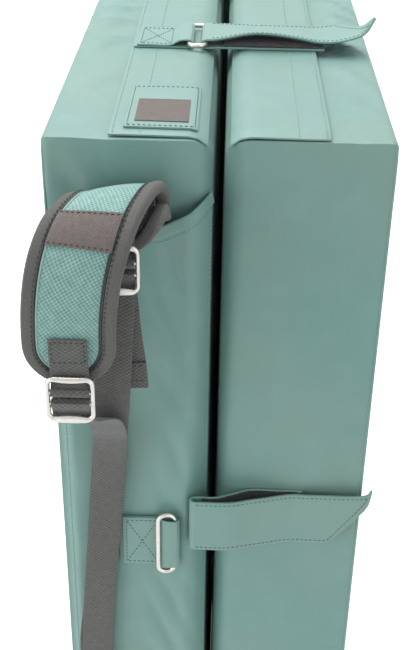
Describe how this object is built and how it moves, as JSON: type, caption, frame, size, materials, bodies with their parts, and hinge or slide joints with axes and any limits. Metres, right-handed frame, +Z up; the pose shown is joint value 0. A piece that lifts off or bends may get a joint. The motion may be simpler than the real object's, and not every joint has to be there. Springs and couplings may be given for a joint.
{
  "type": "bouldering crash pad",
  "caption": "Folding foam landing mat standing closed on its end, with hook-and-loop closing straps, metal rings, a side pocket and tucked padded shoulder straps.",
  "frame": {"origin": "on the floor under the middle of the folded pad's bounding box", "axes": "+Z up, +X from the pocket half across to the strap half, +Y from the front side towards the hinge side"},
  "size_m": [0.262, 0.7634, 1.0336],
  "materials": {
    "cover_fabric": "smooth coated weave",
    "strap_fabric": "fine twill",
    "dark_webbing": "ribbed webbing",
    "binding_tape": "woven tape",
    "hook_and_loop": "brushed pile",
    "brown_panel": "plain woven",
    "alloy": "satin",
    "closed_cell_foam": "foam, cut faces",
    "open_cell_foam": "foam, cut faces"
  },
  "bodies": {
    "left_half": {"left_cover": "cover_fabric", "left_landing_foam": "closed_cell_foam", "left_core_foam": "open_cell_foam", "left_base_foam": "closed_cell_foam", "left_access_flap": "cover_fabric", "left_hook_tape": "hook_and_loop", "left_loop_tape": "hook_and_loop", "left_hinge_leaf": "cover_fabric", "label_patch": "strap_fabric", "label_panel": "brown_panel", "side_pocket": "cover_fabric", "pocket_hem": "cover_fabric", "front_upper_tab": "strap_fabric", "front_lower_tab": "strap_fabric", "top_front_tab": "strap_fabric", "top_back_tab": "strap_fabric", "first_strap_root": "dark_webbing", "first_strap_webbing": "dark_webbing", "first_strap_anchor": "strap_fabric", "second_strap_root": "dark_webbing", "second_strap_webbing": "dark_webbing", "second_strap_anchor": "strap_fabric"},
    "right_half": {"right_cover": "cover_fabric", "right_landing_foam": "closed_cell_foam", "right_core_foam": "open_cell_foam", "right_base_foam": "closed_cell_foam", "right_access_flap": "cover_fabric", "right_hook_tape": "hook_and_loop", "right_loop_tape": "hook_and_loop", "right_hinge_leaf": "cover_fabric", "front_upper_strap_base": "strap_fabric", "front_lower_strap_base": "strap_fabric", "top_front_strap_base": "strap_fabric", "top_back_strap_base": "strap_fabric"},
    "first_shoulder_strap": {"first_strap_pad": "strap_fabric", "first_strap_binding": "binding_tape", "first_strap_loop": "dark_webbing", "strap_badge": "brown_panel"},
    "second_shoulder_strap": {"second_strap_pad": "strap_fabric", "second_strap_binding": "binding_tape", "second_strap_loop": "dark_webbing"},
    "first_buckle": {"first_strap_buckle": "alloy"},
    "second_buckle": {"second_strap_buckle": "alloy"},
    "front_upper_ring_body": {"front_upper_ring": "alloy"},
    "front_upper_strap_end_body": {"front_upper_strap_end": "strap_fabric", "front_upper_strap_lining": "hook_and_loop"},
    "front_lower_ring_body": {"front_lower_ring": "alloy"},
    "front_lower_strap_end_body": {"front_lower_strap_end": "strap_fabric", "front_lower_strap_lining": "hook_and_loop"},
    "top_front_ring_body": {"top_front_ring": "alloy"},
    "top_front_strap_end_body": {"top_front_strap_end": "strap_fabric", "top_front_strap_lining": "hook_and_loop"},
    "top_back_ring_body": {"top_back_ring": "alloy"},
    "top_back_strap_end_body": {"top_back_strap_end": "strap_fabric", "top_back_strap_lining": "hook_and_loop"}
  },
  "joints": [
    {"name": "fold_hinge", "type": "hinge", "parent": "left_half", "child": "right_half", "pos_m": [-0.0012, 0.38315, 0.5], "axis": [0, 0, 1], "range_deg": [0, 180], "deforming": ["top_front_strap_base"]},
    {"name": "front_upper_ring_swing", "type": "hinge", "parent": "left_half", "child": "front_upper_ring_body", "pos_m": [-0.0307, -0.29725, 0.65], "axis": [0, 0, 1], "range_deg": [0, 100]},
    {"name": "front_lower_ring_swing", "type": "hinge", "parent": "left_half", "child": "front_lower_ring_body", "pos_m": [-0.0307, -0.29725, 0.3095], "axis": [0, 0, 1], "range_deg": [0, 100]},
    {"name": "top_back_ring_swing", "type": "hinge", "parent": "left_half", "child": "top_back_ring_body", "pos_m": [-0.0307, 0.15955, 1.0087], "axis": [0, 1, 0], "range_deg": [0, 100]},
    {"name": "top_front_ring_swing", "type": "hinge", "parent": "left_half", "child": "top_front_ring_body", "pos_m": [-0.0302, -0.06155, 1.0087], "axis": [0, -1, 0], "range_deg": [0, 20], "deforming": ["top_front_strap_base"]},
    {"name": "front_upper_strap_peel", "type": "hinge", "parent": "right_half", "child": "front_upper_strap_end_body", "pos_m": [-0.0146, -0.30355, 0.6735], "axis": [0, 0, -1], "range_deg": [0, 100]},
    {"name": "front_lower_strap_peel", "type": "hinge", "parent": "right_half", "child": "front_lower_strap_end_body", "pos_m": [-0.0146, -0.30355, 0.333], "axis": [0, 0, -1], "range_deg": [0, 100]},
    {"name": "top_back_strap_peel", "type": "hinge", "parent": "right_half", "child": "top_back_strap_end_body", "pos_m": [-0.0146, 0.15955, 1.015], "axis": [0, -1, 0], "range_deg": [0, 100]},
    {"name": "top_front_strap_peel", "type": "hinge", "parent": "right_half", "child": "top_front_strap_end_body", "pos_m": [0.029, -0.06155, 1.0122], "axis": [0, -1, 0], "range_deg": [0, 100]},
    {"name": "first_shoulder_strap_swing", "type": "hinge", "parent": "left_half", "child": "first_shoulder_strap", "pos_m": [-0.0672, -0.28815, 0.952], "axis": [-1, 0, 0], "range_deg": [0, 15], "deforming": ["first_strap_webbing"]},
    {"name": "second_shoulder_strap_swing", "type": "hinge", "parent": "left_half", "child": "second_shoulder_strap", "pos_m": [-0.0652, -0.29835, 0.946], "axis": [-1, 0, 0], "range_deg": [0, 8], "deforming": ["second_strap_webbing"]},
    {"name": "first_buckle_swing", "type": "hinge", "parent": "first_shoulder_strap", "child": "first_buckle", "pos_m": [-0.0982, -0.37835, 0.8535], "axis": [1, 0, 0], "range_deg": [0, 20], "deforming": ["first_strap_webbing"]},
    {"name": "second_buckle_swing", "type": "hinge", "parent": "second_shoulder_strap", "child": "second_buckle", "pos_m": [-0.0687, -0.34665, 0.9375], "axis": [1, 0, 0], "range_deg": [0, 20], "deforming": ["second_strap_webbing"]}
  ]
}
